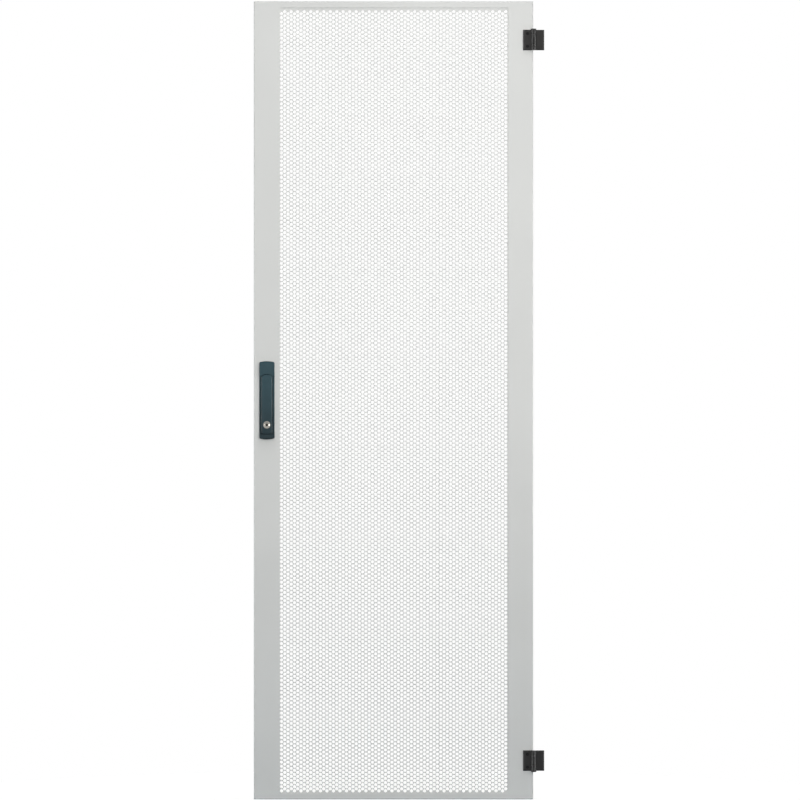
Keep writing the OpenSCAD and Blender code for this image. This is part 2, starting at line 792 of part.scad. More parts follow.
module lever_pivot_pin() {
    color(zinc) at_hub() translate([-lever_w / 2 + 0.5, pin_y, 0]) rotate([0, 90, 0])
        cylinder(d = pivot_pin_d, h = lever_w - 1);
}

module lock_barrel() {
    color(nickel) at_hub() translate([0, 0, -lock_drop]) difference() {
        rod_y(barrel_d, barrel_front, barrel_back);
        rod_y(plug_d + 2 * running_fit, lever_front - 2, barrel_back + 1);
        translate([0, barrel_front - eps, 0]) rotate([-90, 0, 0])
            cylinder(d1 = plug_d + 3.4, d2 = plug_d, h = 0.8);
    }
}

// Plug with a keyway at the front and a driving pin for the bolt at the back
module key_plug() {
    face = barrel_front + 0.5;
    keyway_w = 2.2;
    keyway_h = 7;
    color(nickel) at_hub() translate([0, 0, -lock_drop]) {
        difference() {
            rod_y(plug_d, face, barrel_back + 0.2);
            rod_y(keyway_h - 1, face - 1, face + 0.8);
            translate([-keyway_w / 2, face - 1, -keyway_h / 2]) cube([keyway_w, 5, keyway_h]);
        }
        translate([throw_r * cos(45), 0, throw_r * sin(45)])
            rod_y(throw_pin_d, barrel_back - 0.5, bolt_back - 0.2);
    }
}

module lock_bolt() {
    slot_z = -lock_drop + bolt_travel / 2;
    slot_h = throw_pin_d + 0.6;
    slot_left = throw_r * cos(45) - throw_pin_d / 2 - 1.2;
    slot_right = throw_r + throw_pin_d / 2 + 0.6;
    color(zinc) at_hub() plate(bolt_front, bolt_back) difference() {
        union() {
            translate([-bolt_head_w / 2, slot_z - 4.5]) square([bolt_head_w, 9]);
            translate([-bolt_w / 2, bolt_tip]) square([bolt_w, slot_z - bolt_tip]);
        }
        translate([slot_left, slot_z - slot_h / 2]) square([slot_right - slot_left, slot_h]);
    }
}

module lock_cover() {
    gap = 0.2;
    color(dark_petrol) at_hub() difference() {
        plate(cover_back - cover_t, cover_back)
            translate([-inner_w / 2 + gap, chamber_bottom + gap])
            square([inner_w - 2 * gap, chamber_top - chamber_bottom - 2 * gap]);
        cover_posts() rod_y(cover_screw_d + 2 * still_fit, cover_back - cut / 2, cover_back + 1);
    }
}

module lock_cover_screws() {
    color(zinc) at_hub() cover_posts()
        rod_y(cover_screw_d, chamber_front - 1.5, cover_back - 0.1);
}

// ------------------------------------------------- hub, pinion, gearbox

module lever_hub() {
    color(zinc) at_hub() difference() {
        union() {
            rod_y(hub_flange_d, hub_flange_front, hub_flange_back);
            rod_y(hub_d, hub_flange_back - 1, pinion_front);
            plate(pinion_front - 1, pinion_back) square(square_w, center = true);
            translate([-tongue_w / 2, pin_y, -tongue_r])
                cube([tongue_w, hub_flange_front - pin_y + 1, 2 * tongue_r]);
            translate([-tongue_w / 2, pin_y, 0]) rotate([0, 90, 0]) cylinder(r = tongue_r, h = tongue_w);
        }
        translate([-tongue_w, pin_y, 0]) rotate([0, 90, 0])
            cylinder(d = pivot_pin_d + 2 * running_fit, h = 2 * tongue_w);
        rod_y(handle_screw_d + 2 * still_fit, pinion_back - 9, pinion_back + 1);
    }
}

// Angle in degrees between a flank's foot on the base circle and its point at radius r
function involute(base_r, r) = (sqrt(pow(r / base_r, 2) - 1) * 180 / PI) - acos(base_r / r);

// Points of one tooth, counter-clockwise, centred on the angle mid
function tooth_points(mid) =
    let (
        base_r = pitch_r * cos(pressure_angle),
        half = 90 / pinion_teeth - backlash / 2 / pitch_r * 180 / PI,
        foot = half + involute(base_r, pitch_r),
        steps = 4,
        radii = [for (i = [0 : steps]) base_r + (pitch_r + addendum - base_r) * i / steps],
        root_r = pitch_r - dedendum
    )
    concat(
        [polar(root_r, mid - foot)],
        [for (r = radii) polar(r, mid - foot + involute(base_r, r))],
        [for (i = [steps : -1 : 0]) polar(radii[i], mid + foot - involute(base_r, radii[i]))],
        [polar(root_r, mid + foot)]
    );

function polar(r, a) = [r * cos(a), r * sin(a)];

module lock_pinion() {
    outline = [for (t = [0 : pinion_teeth - 1]) each tooth_points(t * 360 / pinion_teeth)];
    color(zinc) at_hub() plate(pinion_front, pinion_back) difference() {
        polygon(outline);
        square(square_w + 2 * still_fit, center = true);
    }
}

// Rack on the -X side of the pinion: teeth between the tooth numbers first and last
module rack(first, last) {
    half = tooth_pitch / 4 - backlash / 2;
    lean = tan(pressure_angle);
    root = pitch_r + dedendum;
    tip = pitch_r - addendum;
    for (n = [first : last]) translate([0, (n + 0.5) * tooth_pitch]) polygon([
        [-root - eps, -half - dedendum * lean], [-tip, -half + addendum * lean],
        [-tip, half - addendum * lean], [-root - eps, half + dedendum * lean]
    ]);
    translate([-rack_back, first * tooth_pitch - 1])
        square([rack_back - root, jog_z + jog_h - first * tooth_pitch + 1]);
}

// Flat rod above the hub: a rack beside the pinion, then a bar on the centre line
module lock_rod(length) {
    plate(rod_front, rod_back) {
        rack(-1, 3);
        translate([-rack_back, jog_z]) square([rack_back + rod_w / 2, jog_h]);
        polygon([
            [-rod_w / 2, jog_z], [rod_w / 2, jog_z], [rod_w / 2, length - rod_taper],
            [rod_w / 4, length], [-rod_w / 4, length], [-rod_w / 2, length - rod_taper]
        ]);
    }
}

module upper_rod() {
    color(zinc) at_hub() lock_rod(upper_rod_len);
}

module lower_rod() {
    color(zinc) at_hub() rotate([0, 180, 0]) lock_rod(lower_rod_len);
}

module pinion_washer() {
    color(zinc) at_hub() difference() {
        rod_y(washer_d, pinion_back, pinion_back + washer_t);
        rod_y(handle_screw_d + 0.4, pinion_back - 1, pinion_back + washer_t + 1);
    }
}

module pinion_screw() {
    color(zinc) at_hub()
        pan_screw(handle_screw_d, pinion_back - 8, pinion_back + washer_t, pan_head_h);
}

// Case of bent sheet round the pinion, open where the rods leave it
module gearbox_case() {
    wall_x = case_w / 2 - case_t;
    color(zinc) at_hub() difference() {
        union() {
            plate(case_front, case_front + case_t) case_plate();
            for (s = [-1, 1]) translate([s * (wall_x + case_t / 2) - case_t / 2, case_front, -case_down])
                cube([case_t, cover_front - case_front, case_up + case_down]);
            for (z = post_z) translate([0, 0, z]) rod_y(spacer_d, case_front, cover_front);
        }
        rod_y(hub_d + 2, case_front - 1, case_front + case_t + 0.2);
        gearbox_holes();
    }
}

module case_plate() {
    translate([-case_w / 2, -case_down]) square([case_w, case_up + case_down]);
}

module gearbox_holes() {
    for (z = post_z) translate([0, 0, z])
        rod_y(handle_screw_d + 2 * still_fit, case_front - 1, cover_front + case_t + 1);
}

module gearbox_cover() {
    color(zinc) at_hub() difference() {
        plate(cover_front, cover_front + case_t) case_plate();
        rod_y(washer_d + 2, cover_front - 1, cover_front + case_t + 1);
        gearbox_holes();
    }
}

module gearbox_screws() {
    color(zinc) at_hub() for (z = post_z) translate([0, 0, z])
        pan_screw(handle_screw_d, floor_front + 1.4, cover_front + case_t, pan_head_h);
}

// ------------------------------------------------------ guides and studs

// Plastic guides on welded studs, each with a slot for the rod and an ear for its stud
module rod_guides() {
    gap = slide_gap;
    body_w = rod_w + 2 * gap + 2 * guide_wall;
    color(rubber_black) for (z = guide_z) translate([handle_x, 0, z]) difference() {
        union() {
            plate(sheet_t, rod_back + gap + guide_wall) square([body_w, guide_h], center = true);
            plate(sheet_t, sheet_t + guide_ear_t) translate([-body_w / 2 - guide_ear_w, -guide_h / 2])
                square([guide_ear_w + 1, guide_h]);
        }
        plate(rod_front - gap, rod_back + gap) square([rod_w + 2 * gap, guide_h + 2], center = true);
        translate([guide_stud_x(), 0, 0])
            rod_y(guide_stud_d + 2 * still_fit, 0, sheet_t + guide_ear_t + 1);
    }
}

function guide_stud_x() = -(rod_w / 2 + slide_gap + guide_wall + guide_ear_w / 2);

module guide_studs() {
    color(zinc) for (z = guide_z) translate([handle_x + guide_stud_x(), 0, z])
        stud(guide_stud_d, sheet_t, sheet_t + guide_ear_t, sheet_t + guide_ear_t + guide_stud_out);
}

module guide_nuts() {
    color(zinc) for (z = guide_z) translate([handle_x + guide_stud_x(), 0, z])
        hex_nut(guide_stud_d, sheet_t + guide_ear_t);
}

module earth_stud() {
    color(zinc) translate([earth_x, 0, earth_z])
        stud(earth_d, sheet_t, sheet_t + washer_t, sheet_t + earth_len);
}

module earth_washer() {
    color(zinc) translate([earth_x, 0, earth_z]) difference() {
        rod_y(2 * earth_d, sheet_t, sheet_t + washer_t);
        rod_y(earth_d + 0.4, 0, sheet_t + washer_t + 1);
    }
}

module earth_nut() {
    color(zinc) translate([earth_x, 0, earth_z]) hex_nut(earth_d, sheet_t + washer_t);
}

module buffer_places() {
    for (x = [door_left + side_lip_w / 2, door_right - side_lip_w / 2],
         z = [door_bottom + buffer_inset_z, door_top - buffer_inset_z])
        translate([x, 0, z]) children();
}

// Rubber buffers pushed into the rear lips: a head, a neck and a rounded barb
module door_buffers() {
    neck_r = buffer_neck_d / 2 - still_fit;
    color(rubber_black) buffer_places() translate([0, door_depth, 0]) rotate([-90, 0, 0])
        rotate_extrude() polygon([
            [0, -sheet_t - 3], [neck_r, -sheet_t - 3], [neck_r + 1.2, -sheet_t - 0.8],
            [neck_r + 1.2, -sheet_t], [neck_r, -sheet_t], [neck_r, 0], [buffer_d / 2, 0],
            [buffer_d / 2, buffer_h - 1], [buffer_d / 2 - 1, buffer_h], [0, buffer_h]
        ]);
}

// --------------------------------------------------------------- output

door_frame();
perforated_panel();
lock_side_stiffener();
hinge_side_stiffener();
lower_hinge_frame_leaf();
upper_hinge_frame_leaf();
lower_hinge_door_leaf();
upper_hinge_door_leaf();
lower_hinge_pin();
upper_hinge_pin();
hinge_backing_plates();
hinge_screws();
handle_dish();
dish_hood();
dish_foot();
handle_gasket();
handle_clamps();
handle_screws();
swing_lever();
lever_pivot_pin();
lock_barrel();
key_plug();
lock_bolt();
lock_cover();
lock_cover_screws();
lever_hub();
lock_pinion();
pinion_washer();
pinion_screw();
gearbox_case();
gearbox_cover();
gearbox_screws();
upper_rod();
lower_rod();
rod_guides();
guide_studs();
guide_nuts();
earth_stud();
earth_washer();
earth_nut();
door_buffers();
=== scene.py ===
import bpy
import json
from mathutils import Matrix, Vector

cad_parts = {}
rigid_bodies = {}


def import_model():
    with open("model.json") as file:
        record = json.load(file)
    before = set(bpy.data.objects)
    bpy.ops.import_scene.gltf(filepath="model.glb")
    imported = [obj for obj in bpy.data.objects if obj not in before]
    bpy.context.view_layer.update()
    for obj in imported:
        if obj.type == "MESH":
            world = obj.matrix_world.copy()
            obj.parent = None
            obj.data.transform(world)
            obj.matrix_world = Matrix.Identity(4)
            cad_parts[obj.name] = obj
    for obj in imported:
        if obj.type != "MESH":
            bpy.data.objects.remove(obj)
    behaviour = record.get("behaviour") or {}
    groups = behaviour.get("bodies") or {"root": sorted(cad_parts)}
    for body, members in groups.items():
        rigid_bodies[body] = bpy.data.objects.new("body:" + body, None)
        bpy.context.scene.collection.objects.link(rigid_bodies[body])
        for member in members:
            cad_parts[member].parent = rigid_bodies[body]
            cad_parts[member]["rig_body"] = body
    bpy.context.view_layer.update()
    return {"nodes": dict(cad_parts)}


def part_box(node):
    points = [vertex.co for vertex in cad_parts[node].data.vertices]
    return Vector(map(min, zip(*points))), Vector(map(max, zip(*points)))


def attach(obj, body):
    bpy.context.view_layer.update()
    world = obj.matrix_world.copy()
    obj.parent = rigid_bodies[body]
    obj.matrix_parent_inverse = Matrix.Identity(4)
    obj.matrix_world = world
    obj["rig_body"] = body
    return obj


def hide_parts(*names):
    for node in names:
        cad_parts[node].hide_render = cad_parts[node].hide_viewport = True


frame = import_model()

import json
import math

import bmesh
import bpy
import numpy as np
from mathutils import Vector

scene = bpy.context.scene
MM = 0.001

# ------------------------------------------------------------------ studio
# A plain white studio: a large soft lamp in front and to the right, a smaller one
# above, one behind, an even sky and a pale floor below the door. A strip at each
# side is there for reflections alone and draws a bright line on round edges.

door_low, door_high = (Vector(corner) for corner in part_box("door_frame"))
door_mid = (door_low + door_high) / 2

view_height = 2.0045            # height of the picture at the door, in metres
view_centre_x = door_low.x + 0.36625
view_centre_z = door_mid.z + 0.0008
camera_lens = 200.0
camera_sensor = 36.0

camera_data = bpy.data.cameras.new("studio_camera")
camera_data.lens = camera_lens
camera_data.sensor_width = camera_sensor
camera_distance = view_height / camera_sensor * camera_lens
camera = bpy.data.objects.new("studio_camera", camera_data)
camera.location = (view_centre_x, -camera_distance, view_centre_z)
camera.rotation_euler = (math.radians(90), 0, 0)
camera_data.clip_end = 100
scene.collection.objects.link(camera)
scene.camera = camera
scene.view_settings.view_transform = "Standard"


def soft_lamp(name, place, aim_height, size, power, tint=(1.0, 1.0, 1.0), spread=180,
              mirrored=False):
    """Square area lamp at place, aimed at the middle of the door at aim_height. It
    lights the part and no surface mirrors it, or, where mirrored, the reverse."""
    lamp = bpy.data.lights.new(name, "AREA")
    lamp.size = size
    lamp.energy = power
    lamp.color = tint
    lamp.spread = math.radians(spread)
    holder = bpy.data.objects.new(name, lamp)
    holder.location = place
    aim = Vector(place) - Vector((door_mid.x, 0, aim_height))
    holder.rotation_euler = aim.to_track_quat("Z", "Y").to_euler()
    holder.visible_glossy = mirrored
    holder.visible_diffuse = not mirrored
    scene.collection.objects.link(holder)


soft_lamp("key_lamp", (0.43, -3.3, 1.72), 1.55, 3.0, 37, (1.0, 0.98, 0.96), spread=100)
soft_lamp("top_lamp", (door_mid.x, -1.5, 5.0), 1.6, 1.2, 45)
soft_lamp("rear_lamp", (-1.6, 3.2, 3.2), 0.9, 2.0, 60)
soft_lamp("left_strip", (door_mid.x - 3.0, -1.2, door_mid.z), 1.0, 1.6, 150, mirrored=True)
soft_lamp("right_strip", (door_mid.x + 3.0, -1.2, door_mid.z), 1.0, 1.6, 150, mirrored=True)


def studio_sky(strength):
    """White where the camera or a reflection sees it; for light, a sky that runs
    from cool below to neutral above, by the height of the direction."""
    world = bpy.data.worlds.new("studio_sky")
    scene.world = world
    world.use_nodes = True
    nodes, links = world.node_tree.nodes, world.node_tree.links
    nodes.clear()
    direction = nodes.new("ShaderNodeTexCoord")
    parts = nodes.new("ShaderNodeSeparateXYZ")
    links.new(direction.outputs["Generated"], parts.inputs[0])
    ramp = nodes.new("ShaderNodeValToRGB")
    ramp.color_ramp.elements[0].position = 0.0
    ramp.color_ramp.elements[0].color = (0.80, 0.90, 1.0, 1)
    ramp.color_ramp.elements[1].position = 1.0
    ramp.color_ramp.elements[1].color = (1.0, 1.0, 0.97, 1)
    height = nodes.new("ShaderNodeMapRange")
    height.inputs["From Min"].default_value = -1.0
    links.new(parts.outputs["Z"], height.inputs["Value"])
    links.new(height.outputs[0], ramp.inputs[0])
    light = nodes.new("ShaderNodeBackground")
    light.inputs["Strength"].default_value = strength
    links.new(ramp.outputs[0], light.inputs["Color"])
    white = nodes.new("ShaderNodeBackground")
    white.inputs["Color"].default_value = (1, 1, 1, 1)
    path = nodes.new("ShaderNodeLightPath")
    seen = path.outputs["Is Camera Ray"]
    for ray in ("Is Glossy Ray", "Is Transmission Ray"):
        either = nodes.new("ShaderNodeMath")
        either.operation = "MAXIMUM"
        links.new(seen, either.inputs[0])
        links.new(path.outputs[ray], either.inputs[1])
        seen = either.outputs[0]
    mix = nodes.new("ShaderNodeMixShader")
    links.new(seen, mix.inputs[0])
    links.new(light.outputs[0], mix.inputs[1])
    links.new(white.outputs[0], mix.inputs[2])
    out = nodes.new("ShaderNodeOutputWorld")
    links.new(mix.outputs[0], out.inputs["Surface"])


studio_sky(0.30)


def mesh_piece(name, points, faces):
    """Mesh object at the origin from an array of points and a list of faces."""
    mesh = bpy.data.meshes.new(name)
    mesh.from_pydata(np.asarray(points).tolist(), [], [list(f) for f in faces])
    mesh.validate()
    mesh.update()
    piece = bpy.data.objects.new(name, mesh)
    scene.collection.objects.link(piece)
    return piece


def studio_floor(drop, reach):
    """Round floor: rings of points whose radius grows with the square of the ring."""
    rings, spokes = 12, 64
    ring, spoke = np.meshgrid(np.arange(1, rings + 1), np.arange(spokes), indexing="ij")
    radius = reach * (ring / rings) ** 2
    angle = 2 * np.pi * spoke / spokes
    points = np.stack([door_mid.x + radius * np.cos(angle), radius * np.sin(angle),
                       np.full(radius.shape, door_low.z - drop)], axis=-1).reshape(-1, 3)
    first = (ring[:-1] - 1) * spokes + spoke[:-1]
    across = (ring[:-1] - 1) * spokes + (spoke[:-1] + 1) % spokes
    quads = np.stack([first, first + spokes, across + spokes, across], axis=-1).reshape(-1, 4)
    faces = [tuple(range(spokes))] + quads.tolist()
    return mesh_piece("studio_floor", points, faces)


floor = studio_floor(drop=0.06, reach=1.6)
floor_paint = bpy.data.materials.new("floor_paint")
floor_paint.use_nodes = True
floor_nodes, floor_links = floor_paint.node_tree.nodes, floor_paint.node_tree.links
floor_shader = floor_nodes["Principled BSDF"]
floor_shader.inputs["Base Color"].default_value = (0.36, 0.42, 0.48, 1)
floor_shader.inputs["Roughness"].default_value = 0.9
floor_glow = floor_nodes.new("ShaderNodeEmission")
floor_glow.inputs["Color"].default_value = (1.0, 0.935, 0.87, 1)
floor_glow.inputs["Strength"].default_value = 0.70
floor_path = floor_nodes.new("ShaderNodeLightPath")
floor_seen = floor_nodes.new("ShaderNodeMixShader")
floor_dark = floor_nodes.new("ShaderNodeEmission")
floor_dark.inputs["Strength"].default_value = 0.0
floor_sum = floor_nodes.new("ShaderNodeAddShader")
floor_links.new(floor_path.outputs["Is Camera Ray"], floor_seen.inputs[0])
floor_links.new(floor_dark.outputs[0], floor_seen.inputs[1])
floor_links.new(floor_glow.outputs[0], floor_seen.inputs[2])
floor_links.new(floor_shader.outputs[0], floor_sum.inputs[0])
floor_links.new(floor_seen.outputs[0], floor_sum.inputs[1])
floor_links.new(floor_sum.outputs[0], floor_nodes["Material Output"].inputs["Surface"])
floor.data.materials.append(floor_paint)

# -------------------------------------------------------------- door frame
# A tray folded from 2 mm steel sheet, with a window and two rows of rear lips.
# It is welded at the corners, ground, and powder coated light grey.


def linear(red, green, blue):
    """A colour given as 0 to 255, as the linear values that a shader takes."""
    shade = np.array([red, green, blue]) / 255
    low = shade / 12.92
    high = ((shade + 0.055) / 1.055) ** 2.4
    return tuple(np.where(shade <= 0.04045, low, high)) + (1.0,)


class Finish:
    """A material under construction: its shader, and textures on Object coordinates."""

    def __init__(self, name, slot, roughness, metallic=0.0):
        self.slot = slot
        self.material = bpy.data.materials.new(name)
        self.material.use_nodes = True
        self.nodes = self.material.node_tree.nodes
        self.links = self.material.node_tree.links
        self.shader = self.nodes["Principled BSDF"]
        self.shader.inputs["Roughness"].default_value = roughness
        self.shader.inputs["Metallic"].default_value = metallic
        self.place = self.nodes.new("ShaderNodeTexCoord").outputs["Object"]

    def stretched(self, scale):
        """Object coordinates multiplied by one factor for each axis."""
        mapping = self.nodes.new("ShaderNodeMapping")
        mapping.inputs["Scale"].default_value = scale
        self.links.new(self.place, mapping.inputs["Vector"])
        return mapping.outputs[0]

    def noise(self, size, detail=2.0, place=None):
        """Cloudy noise whose patches measure about size metres."""
        texture = self.nodes.new("ShaderNodeTexNoise")
        texture.inputs["Scale"].default_value = 1 / size
        texture.inputs["Detail"].default_value = detail
        self.links.new(place or self.place, texture.inputs["Vector"])
        return texture.outputs[0]

    def cells(self, size, place=None):
        """One random value for each cell of about size metres."""
        texture = self.nodes.new("ShaderNodeTexVoronoi")
        texture.inputs["Scale"].default_value = 1 / size
        self.links.new(place or self.place, texture.inputs["Vector"])
        return texture.outputs["Color"]

    def ramp(self, value, *stops):
        """Colours along a value, given as (position, colour)."""
        ramp = self.nodes.new("ShaderNodeValToRGB")
        elements = ramp.color_ramp.elements
        while len(elements) < len(stops):
            elements.new(0.5)
        for element, (position, colour) in zip(elements, stops):
            element.position = position
            element.color = colour
        self.links.new(value, ramp.inputs[0])
        return ramp.outputs[0]

    def range(self, value, low, high):
        """A value from 0 to 1, carried to the range from low to high."""
        span = self.nodes.new("ShaderNodeMapRange")
        span.inputs["To Min"].default_value = low
        span.inputs["To Max"].default_value = high
        self.links.new(value, span.inputs["Value"])
        return span.outputs[0]

    def blend(self, axis, start, end, before, after):
        """A colour that runs from before, at start on an axis, to after at its end."""
        parts = self.nodes.new("ShaderNodeSeparateXYZ")
        self.links.new(self.place, parts.inputs[0])
        span = self.nodes.new("ShaderNodeMapRange")
        span.inputs["From Min"].default_value = start
        span.inputs["From Max"].default_value = end
        self.links.new(parts.outputs[axis], span.inputs["Value"])
        mix = self.nodes.new("ShaderNodeMix")
        mix.data_type = "RGBA"
        self.links.new(span.outputs[0], mix.inputs["Factor"])
        self.links.new(before, mix.inputs["A"])
        self.links.new(after, mix.inputs["B"])
        return mix.outputs["Result"]

    def colour(self, value):
        self.links.new(value, self.shader.inputs["Base Color"])

    def roughness(self, value):
        self.links.new(value, self.shader.inputs["Roughness"])

    def relief(self, height, depth, after=None):
        """Bump of the given depth in metres, on top of an earlier one."""
        bump = self.nodes.new("ShaderNodeBump")
        bump.inputs["Strength"].default_value = 1.0
        bump.inputs["Distance"].default_value = depth
        self.links.new(height, bump.inputs["Height"])
        if after:
            self.links.new(after, bump.inputs["Normal"])
        self.links.new(bump.outputs[0], self.shader.inputs["Normal"])
        return bump.outputs[0]


def dress(finish, *nodes):
    """Gives a finish to CAD nodes, by name."""
    for node in nodes:
        piece = frame["nodes"][node]
        piece.data.materials.clear()
        piece.data.materials.append(finish.material)


def powder_coat():
    """Light grey powder coat: satin, with the low waves of orange peel."""
    coat = Finish("light_grey_powder_coat", "powder_coat", roughness=0.5)
    tone = coat.noise(0.25, detail=1)
    coat.colour(coat.ramp(tone, (0.3, linear(201, 202, 200)), (0.7, linear(205, 206, 204))))
    grain = coat.noise(0.0016, detail=2)
    coat.roughness(coat.range(grain, 0.42, 0.58))
    wave = coat.relief(coat.noise(0.004, detail=1), 0.00003)
    coat.relief(grain, 0.000012, after=wave)
    return coat


light_grey = powder_coat()
dress(light_grey, "door_frame")

# ------------------------------------------------------- perforated panel
# One sheet of 1.5 mm steel, punched with staggered round holes by a tool that
# strikes many columns at a time. Its flanges are welded behind the window.

panel_low, panel_high = (Vector(corner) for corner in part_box("perforated_panel"))
column_pitch = 8.14 * MM
row_pitch = 10.25 * MM
hole_radius = 4.0 * MM
hole_sides = 10
panel_columns = 70
panel_rows = 191
first_column = door_low.x + 69.3 * MM
first_row = door_low.z + 21.4 * MM
register_column = 49            # first column of the last stroke of the tool
register_step = 0.45 * MM       # extra bar that the tool leaves there
columns_in_a_strip = 18


def closed_sheet(name, flat, faces, front, back):
    """Sheet of even thickness from a flat figure in x and z. Equal points are
    joined; the front keeps the faces, the back has them turned over, and a wall
    stands on every edge that belongs to one face only."""
    step = 1e-6
    key = np.round(np.asarray(flat) / step).astype(np.int64)
    unique, where, index = np.unique(key, axis=0, return_index=True, return_inverse=True)
    index = index.reshape(-1)
    flat = np.asarray(flat)[where]
    count = len(flat)
    faces = [index[np.asarray(group)] for group in faces]
    edges = np.concatenate([np.stack([group, np.roll(group, -1, axis=1)], axis=-1).reshape(-1, 2)
                            for group in faces])
    code = edges[:, 0] * count + edges[:, 1]
    open_edges = edges[~np.isin(code, edges[:, 1] * count + edges[:, 0])]
    walls = np.concatenate([open_edges[:, ::-1], open_edges + count], axis=1)
    points = np.concatenate([
        np.stack([flat[:, 0], np.full(count, y), flat[:, 1]], axis=-1) for y in (front, back)])
    solid = []
    for group in faces:
        solid += group.tolist() + (group[:, ::-1] + count).tolist()
    return mesh_piece(name, points, solid + walls.tolist())


def hole_cell():
    """Six-sided cell round one hole of a staggered field. Its corners lie as far
    from three neighbouring holes, and each side of the hole's polygon goes to
    the corner that it faces. Returns corners, rim points and triangles."""
    half = row_pitch / 2
    reach = (column_pitch ** 2 + half ** 2) / (2 * column_pitch)
    notch = column_pitch - reach
    corners = np.array([(reach, 0), (notch, half), (-notch, half),
                        (-reach, 0), (-notch, -half), (notch, -half)])
    turn = 2 * np.pi * np.arange(hole_sides) / hole_sides
    true_area = math.sqrt(2 * np.pi / hole_sides / math.sin(2 * np.pi / hole_sides))
    rim = hole_radius * true_area * np.stack([np.cos(turn), np.sin(turn)], axis=-1)
    middle = turn + np.pi / hole_sides
    corner_turn = np.arctan2(corners[:, 1], corners[:, 0])
    apart = np.abs(np.angle(np.exp(1j * (middle[:, None] - corner_turn[None, :]))))
    nearest = np.argmin(np.round(apart, 6), axis=1)
    side = np.arange(hole_sides)
    after = (side + 1) % hole_sides
    triangles = np.stack([6 + side, nearest, 6 + after], axis=-1)
    change = nearest != nearest[after]
    joints = np.stack([nearest, nearest[after], 6 + after], axis=-1)[change]
    return corners, rim, np.concatenate([triangles, joints])


def panel_strip(number, columns):
    """Run of columns of the panel: a cell at every hole, and plain margins from
    the outermost cells to the panel's edges."""
    corners, rim, triangles = hole_cell()
    column, row = np.meshgrid(columns, np.arange(panel_rows), indexing="ij")
    x = first_column + column * column_pitch + (column >= register_column) * register_step
    z = first_row + row * row_pitch + (column % 2) * row_pitch / 2
    centres = np.stack([x, z], axis=-1).reshape(-1, 1, 2)
    cells = np.concatenate([centres + corners, centres + rim], axis=1)
    # the wider bar: the cells before it reach further to the right
    stretch = (column == register_column - 1).reshape(-1, 1)
    cells[:, [0, 1, 5], 0] += stretch * register_step
    flat = [cells.reshape(-1, 2)]
    offsets = cells.shape[1] * np.arange(len(cells))[:, None, None]
    faces = [(triangles[None] + offsets).reshape(-1, 3)]

    def margin(line, edge, axis):
        """Quads from a line of points straight to an edge of the panel."""
        start = sum(len(f) for f in flat)
        away = line.copy()
        away[:, axis] = edge
        flat.append(np.concatenate([line, away]))
        here = start + np.arange(len(line) - 1)
        quads = np.stack([here, here + 1, here + 1 + len(line), here + len(line)], axis=-1)
        low_side = (axis == 1) == (edge < line[0, axis])
        faces.append(quads[:, ::-1] if low_side else quads)

    by_column = cells.reshape(len(columns), panel_rows, -1, 2)
    top = by_column[:, -1, [2, 1]].reshape(-1, 2)
    bottom = by_column[:, 0, [4, 5]].reshape(-1, 2)
    if columns[0] > 0:
        step_down = (columns[0] % 2 * 2 - 1) * row_pitch / 2
        link_top = np.array([[by_column[0, -1, 3, 0], by_column[0, -1, 2, 1] - step_down]])
        link_bottom = np.array([[by_column[0, 0, 3, 0], by_column[0, 0, 4, 1] - step_down]])
        top = np.concatenate([link_top, top])
        bottom = np.concatenate([link_bottom, bottom])
    left, right = panel_low.x, panel_high.x
    if columns[0] == 0:
        side = by_column[0][:, [4, 3, 2]].reshape(-1, 2)
        margin(side, left, 0)
        top = np.concatenate([[[left, top[0, 1]]], top])
        bottom = np.concatenate([[[left, bottom[0, 1]]], bottom])
    if columns[-1] == panel_columns - 1:
        side = by_column[-1][:, [5, 0, 1]].reshape(-1, 2)
        margin(side, right, 0)
        top = np.concatenate([top, [[right, top[-1, 1]]]])
        bottom = np.concatenate([bottom, [[right, bottom[-1, 1]]]])
    margin(top, panel_high.z, 1)
    margin(bottom, panel_low.z, 1)
    strip = closed_sheet(f"perforated_strip_{number}", np.concatenate(flat), faces,
                         panel_low.y, panel_high.y)
    strip.data.shade_smooth()
    strip.data.set_sharp_from_angle(angle=math.radians(50))
    strip.data.materials.append(light_grey.material)
    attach(strip, "door")
    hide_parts("perforated_panel")


for number, start in enumerate(range(0, panel_columns, columns_in_a_strip)):
    panel_strip(number + 1, np.arange(start, min(start + columns_in_a_strip, panel_columns)))

# ----------------------------------------------------- stiffening profiles
# Channels of 1.5 mm galvanised sheet with a line of holes in the web. They are
# spot welded to the flanges of the panel and stiffen the tall sides.


def softened(finish, width, *nodes):
    """Copies of CAD nodes whose sharp edges are rounded by width metres."""
    for node in nodes:
        source = frame["nodes"][node]
        form = bmesh.new()
        form.from_mesh(source.data)
        bmesh.ops.remove_doubles(form, verts=form.verts, dist=1e-6)
        bmesh.ops.dissolve_limit(form, angle_limit=math.radians(0.5),
                                 verts=form.verts, edges=form.edges)
        mesh = bpy.data.meshes.new(node + "_finished")
        form.to_mesh(mesh)
        form.free()
        mesh.shade_smooth()
        mesh.materials.clear()
        mesh.materials.append(finish.material)
        piece = bpy.data.objects.new(node + "_finished", mesh)
        scene.collection.objects.link(piece)
        rounding = piece.modifiers.new("rounding", "BEVEL")
        rounding.width = width
        rounding.segments = 2
        rounding.limit_method = "ANGLE"
        rounding.angle_limit = math.radians(32)
        evened = piece.modifiers.new("evened", "WEIGHTED_NORMAL")
        evened.keep_sharp = True
        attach(piece, source["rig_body"])
        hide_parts(node)


